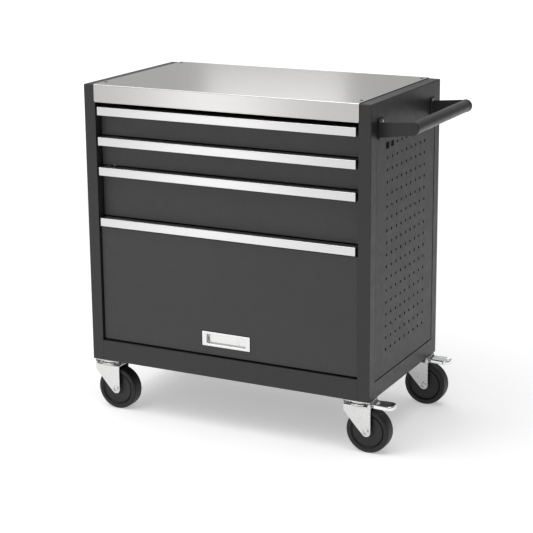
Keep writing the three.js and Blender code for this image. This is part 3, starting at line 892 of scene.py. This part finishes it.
def handle():
    """The push handle: a tube held by two moulded arms, screwed to the right side."""
    tube_x, tube_y, tube_z = span("handle_tube")
    middle = (sum(tube_x) / 2, sum(tube_z) / 2)
    radius = (tube_z[1] - tube_z[0]) / 2
    length = tube_y[1] - tube_y[0]
    ease = 1.4
    bm = bmesh.new()
    profile = [(0, 0), (radius - ease, 0), (radius, ease)]
    profile += [(radius, length - ease), (radius - ease, length), (0, length)]
    turned(bm, profile, at(middle[0], tube_y[0], middle[1]), Y_AXIS, steps=64)
    solid(
        "handle_grip_tube", bm, "cabinet", HANDLE_PAINT,
        ["handle_tube", "handle_cap_front", "handle_cap_rear"], edge=0.3,
    )
    for end in ENDS:
        handle_arm(end, middle)


def handle_arm(end, middle):
    """One arm: a foot plate, a tapering arm with round edges, the tube's end cap and two screws."""
    x, y, z = span(f"handle_bracket_{end}")
    way = 1 if end == "front" else -1
    near = y[0] if way == 1 else y[1]
    eye, bore = 13.8, 13.1
    foot_thickness, foot_reach = 3, 24
    screw_depth, screw_inset = 16, 5
    tube_x, tube_z = middle

    def deep(distance):
        return near + way * distance

    bm = bmesh.new()
    box(bm, (x[0], x[0] + foot_thickness), sorted((deep(0), deep(foot_reach))), z)
    corners = [
        (x[0] + 0.5, z[0] + 3.5, 0.5),
        (tube_x, tube_z - eye + 0.4, 0),
        (tube_x + eye * 0.7, tube_z - eye * 0.7, 0),
        (tube_x + eye * 0.7, tube_z + eye * 0.6, 0),
        (tube_x, tube_z + eye - 1.0, 0),
        (x[0] + 0.5, z[1] - 8, 0.5),
    ]
    outline = eased_outline(corners)
    run = sorted((deep(0.6), deep(7.5)))
    prism(bm, outline, lambda u, v, w: at(u, w, v), *run)
    solid(
        f"handle_arm_{end}", bm, "cabinet", HANDLE_PAINT,
        [f"handle_bracket_{end}"], edge=2.2, segments=3,
    )
    cap = bmesh.new()
    profile = [(0, 0), (eye - 3.2, 0), (eye - 1.2, 0.6), (eye - 0.3, 1.7), (eye, 3.2), (eye, 6.6)]
    profile += [(eye - 0.5, 7.7), (bore, 8.2), (bore, 3), (0, 3)]
    turned(cap, profile, at(tube_x, deep(0), tube_z), (0, way, 0), steps=64)
    solid(f"handle_end_cap_{end}", cap, "cabinet", HANDLE_PAINT, edge=0.2)
    screws = bmesh.new()
    for height in (z[0] + screw_inset, z[1] - screw_inset):
        place = at(x[0] + foot_thickness, deep(screw_depth), height)
        screw_head(screws, place, X_AXIS, radius=2.6, height=1.2)
    solid(f"handle_screws_{end}", screws, "cabinet", ZINC, edge=0)


# ---- casters ----

WHEEL_RADIUS = 47.5
TRAIL = 21.5  # from the swivel axis to the axle
FORK_FRONT = 31  # from the swivel axis to the fork's edge away from the axle
FORK_HALF, FORK_TOP = 20.5, 102.0  # the fork's half width at the axle, and its top's height
FORK_CREASE, FORK_LEAN = 1.5, 3.2  # where the legs crease, and how far their fronts lean in
FORK_END = 10  # radius of a leg's end round the axle
PEDAL_X, PEDAL_Z = 28.0, 106.3  # the brake's pivot, from the point under the swivel axis
DOWN = (0, 0, -1)


def caster_origin(name):
    """The point on the floor under a caster's swivel axis, in metres."""
    low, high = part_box(f"caster_plate_{name}")
    return Vector(((low.x + high.x) / 2, (low.y + high.y) / 2, 0))


def caster_plate(name, origin):
    """The fixed plate with the swivel's upper race, held by four bolts."""
    low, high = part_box(f"caster_plate_{name}")
    half_x, half_y = (high.x - low.x) * 500, (high.y - low.y) * 500
    bm = bmesh.new()
    set_back, thinner = 4, 0.9
    bolt_x, bolt_y = 25, 16
    outline = round_rectangle((-half_x, set_back - half_y), (half_x, half_y - set_back), 5)

    def place(u, v, w):
        return origin + Vector((mm(u), mm(v), w))

    prism(bm, outline, place, low.z, high.z - mm(thinner))
    upper_race = [(0, 110.9), (20.5, 110.9), (21.6, 109.8)]
    upper_race += [(21.6, 108.0), (20.4, 107.2), (0, 107.2)]
    turned(bm, upper_race, origin, Z_AXIS)
    solid(
        f"caster_top_plate_{name}", bm, "cabinet", CASTER_ZINC,
        [f"caster_plate_{name}"], edge=0.5,
    )
    washer = [(0, 0), (6.6, 0), (6.6, 1.0), (0, 1.0)]
    shank = [(0, 0), (2.9, 0), (2.9, 7.2), (2.3, 7.8), (0, 7.8)]
    bolts = bmesh.new()
    for way_x in (-1, 1):
        for way_y in (-1, 1):
            spot = origin + Vector((mm(way_x * bolt_x), mm(way_y * bolt_y), low.z))
            turned(bolts, washer, spot, DOWN, steps=24)
            hexagon_head(bolts, beyond(spot, 0, 0, -1), DOWN, 5.6, 4.2, turn_by=0.3)
            turned(bolts, shank, spot, DOWN, steps=16)
    solid(f"caster_bolts_{name}", bolts, "cabinet", DARK_STEEL, edge=0.15)


def fork_leg(bm, origin, way):
    """One leg of a fork: flat at the axle, creased, its front part leaning in, its end round."""
    slant = math.radians(218)  # where the round end starts, on the front side
    front_low = WHEEL_RADIUS + 40
    steps = 10
    end = []
    for n in range(steps + 1):
        angle = slant + (2 * math.pi - slant) * n / steps
        end.append((TRAIL + FORK_END * math.cos(angle), WHEEL_RADIUS + FORK_END * math.sin(angle)))
    start, corner = end[0], (-FORK_FRONT, front_low)
    share = (start[0] - FORK_CREASE) / (start[0] - corner[0])
    low = (FORK_CREASE, start[1] + (corner[1] - start[1]) * share)
    high = (FORK_CREASE, FORK_TOP)

    def place(u, v):
        shift = FORK_LEAN * max(0, FORK_CREASE - u) / (FORK_CREASE + FORK_FRONT)
        return beyond(origin, u, way * (FORK_HALF - shift), v)

    face(bm, *[place(u, v) for u, v in (low, *end, (TRAIL + FORK_END, FORK_TOP), high)])
    face(bm, *[place(u, v) for u, v in (low, high, (-FORK_FRONT, FORK_TOP), corner)])


def caster_fork(name, origin, braked):
    """The pressed fork: two legs under a top plate, the lower race and the kingpin's head."""
    bm = bmesh.new()
    fork_leg(bm, origin, -1)
    fork_leg(bm, origin, 1)
    left, right, narrow = -FORK_FRONT, TRAIL + FORK_END, FORK_HALF - FORK_LEAN
    outline = [(left, -narrow), (FORK_CREASE, -FORK_HALF), (right, -FORK_HALF)]
    outline += [(right, FORK_HALF), (FORK_CREASE, FORK_HALF), (left, narrow)]
    face(bm, *[beyond(origin, u, v, FORK_TOP) for u, v in outline])
    fold(
        f"caster_yoke_{name}", bm, origin + Vector((0, 0, 4)), 2.5, 3.0, f"caster_{name}",
        CASTER_ZINC, [f"caster_fork_{name}"], edge=0.4,
    )
    race = bmesh.new()
    lower = [(0, 101.9), (21.4, 101.9), (22.8, 103.0), (23.1, 104.6)]
    lower += [(22.2, 106.0), (18.6, 106.4), (0, 106.4)]
    turned(race, lower, origin, Z_AXIS)
    kingpin = [(0, 94.6), (6.5, 94.9), (8, 96.2), (8, 99.6), (0, 99.6)]
    turned(race, kingpin, origin, Z_AXIS, steps=32)
    if braked:
        ear = [(24.5, 100), (31.5, 100), (31.5, 107.6), (29.6, 109.4), (26.4, 109.4), (24.5, 107.6)]
        outline = eased_outline([(u, v, 1.0) for u, v in ear])
        for way in (-1, 1):
            prism(
                race, outline, lambda u, v, w: beyond(origin, u, w, v),
                way * 18.0, way * FORK_HALF,
            )
    solid(f"caster_race_{name}", race, f"caster_{name}", CASTER_ZINC, edge=0.3)


def caster_axle(name, origin):
    """The axle: a washer and a hollow, rolled rivet end on each side."""
    bm = bmesh.new()
    centre = beyond(origin, TRAIL, 0, WHEEL_RADIUS)
    start = FORK_HALF + 0.05
    profile = [(0, start), (8, start), (8, start + 0.9), (6.6, start + 1.0), (6.5, start + 1.7)]
    profile += [(5.6, start + 2.5), (4.4, start + 2.5), (3.8, start + 1.2)]
    profile += [(3.6, start - 5), (0, start - 5)]
    for way in (-1, 1):
        turned(bm, profile, centre, (0, way, 0), steps=32)
    turned(bm, [(0, -15), (5, -15), (5, 15), (0, 15)], centre, Y_AXIS, steps=24)
    solid(
        f"caster_rivet_{name}", bm, f"caster_{name}", CASTER_ZINC,
        [f"caster_axle_{name}"], edge=0.15,
    )


def wheel(name, origin):
    """The wheel: a grooved tyre with round shoulders on a dished core with a hub."""
    centre = beyond(origin, TRAIL, 0, WHEEL_RADIUS)
    shoulder = [(36.5, 12.4), (37.2, 14.4), (39.0, 15.0), (43.2, 15.0)]
    shoulder += [(46.0, 14.2), (47.2, 12.4), (WHEEL_RADIUS, 10.0)]
    tyre = shoulder + [(r, -w) for r, w in reversed(shoulder)]
    tyre += [(34.6, -11.2), (34.0, -6), (34.0, 6), (34.6, 11.2), shoulder[0]]
    bm = bmesh.new()
    turned(bm, tyre, centre, Y_AXIS, steps=96)
    solid(
        f"tyre_{name}", bm, f"wheel_{name}", RUBBER, [f"caster_wheel_{name}"],
        edge=0, crisp=50,
    )
    rim = [(5.4, 16.5), (11.5, 16.5), (12.8, 15.6), (13.6, 12.6)]
    rim += [(16, 11.2), (30, 11.8), (33.4, 12.4), (34.3, 11.0)]
    core = rim + [(r, -w) for r, w in reversed(rim)] + [rim[0]]
    bm = bmesh.new()
    turned(bm, core, centre, Y_AXIS, steps=72)
    solid(f"wheel_core_{name}", bm, f"wheel_{name}", WHEEL_CORE, edge=0.3, crisp=40)


def brake_pedal(name, origin):
    """The foot brake: a dished tread with a rounded end and turned-down lips on a pivot barrel."""
    low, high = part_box(f"brake_pedal_{name}")
    end_x = (high.x - origin.x) * 1000
    base_x = PEDAL_X + 6.5
    shoe_low = 96
    half, taper, round_end = 19, 3, 15
    top = PEDAL_Z + 2.4
    bm = bmesh.new()

    def ring(inset, height):
        radius = max(round_end - inset, 2)
        corners = [
            (base_x + inset, inset + taper - half, 4),
            (end_x - inset, inset - half, radius),
            (end_x - inset, half - inset, radius),
            (base_x + inset, half - inset - taper, 4),
        ]
        return [bm.verts.new(beyond(origin, u, v, height)) for u, v in eased_outline(corners, 8)]

    levels = [(0.2, top - 8), (0.1, top - 3), (0.9, top - 0.8), (2.2, top)]
    levels += [(4.2, top - 0.5), (7.5, top - 2.4), (12, top - 3.2)]
    rings = [ring(*level) for level in levels]
    bridge(bm, rings)
    bm.faces.new(rings[-1])
    fold(
        f"brake_tread_{name}", bm, beyond(origin, 60, 0, FAR), 1.8, 0.0, f"brake_{name}",
        CHROME, [f"brake_pedal_{name}"], edge=0.3,
    )
    arm = bmesh.new()
    centre = beyond(origin, PEDAL_X, 0, PEDAL_Z)
    for radius, reach, steps in ((3, 17.4, 24), (1.8, 20.4, 16)):
        profile = [(0, -reach), (radius, -reach), (radius, reach), (0, reach)]
        turned(arm, profile, centre, Y_AXIS, steps)
    neck_z = (PEDAL_Z + 0.2, PEDAL_Z + 1.8)
    box(arm, (PEDAL_X, base_x + 3), (-16, 16), neck_z, origin)
    box(arm, (PEDAL_X + 2, PEDAL_X + 5), (-8, 8), (shoe_low, PEDAL_Z), origin)
    solid(f"brake_arm_{name}", arm, f"brake_{name}", ZINC, edge=0.4)


def caster(end, side):
    """A swivel caster at one corner. The right side's have brakes."""
    name = f"{end}_{side}"
    origin = caster_origin(name)
    braked = side == "right"
    caster_plate(name, origin)
    caster_fork(name, origin, braked)
    caster_axle(name, origin)
    wheel(name, origin)
    if braked:
        brake_pedal(name, origin)


# ---- CAD nodes that stay ----


def keep(node, material, width=0.35):
    """Gives a CAD node that stays its material and eased edges."""
    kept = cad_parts[node]
    kept.data.materials.clear()
    kept.data.materials.append(material)
    weld = kept.modifiers.new("weld", "WELD")
    weld.merge_threshold = mm(0.01)
    bevel(kept, width, segments=2, angle=35)


def kept_nodes():
    for node in ("divider_shelf", "top_rail"):
        keep(node, FRAME_PAINT)
    for side in SIDES:
        keep(f"door_track_{side}", ZINC)
        keep(f"door_glider_{side}", NYLON)
        for number in DRAWERS:
            keep(f"slide_{number}_outer_{side}", ZINC)
            keep(f"slide_{number}_inner_{side}", ZINC)


for side in SIDES:
    side_panel(side)
    peg_panel(side)
    if side == "right":
        handle_shadow_blocks()
back_panel()
base_pan()
worktop()
pull_bar("header_pull_bar", "cabinet", "header_bar")
for number in DRAWERS:
    drawer_front(number)
    drawer_tray(number)
    pull_bar(f"drawer_{number}_bar", f"drawer_{number}", f"drawer_{number}_pull")
door_panel()
door_pull()
handle()
for side in SIDES:
    for end in ENDS:
        caster(end, side)
kept_nodes()
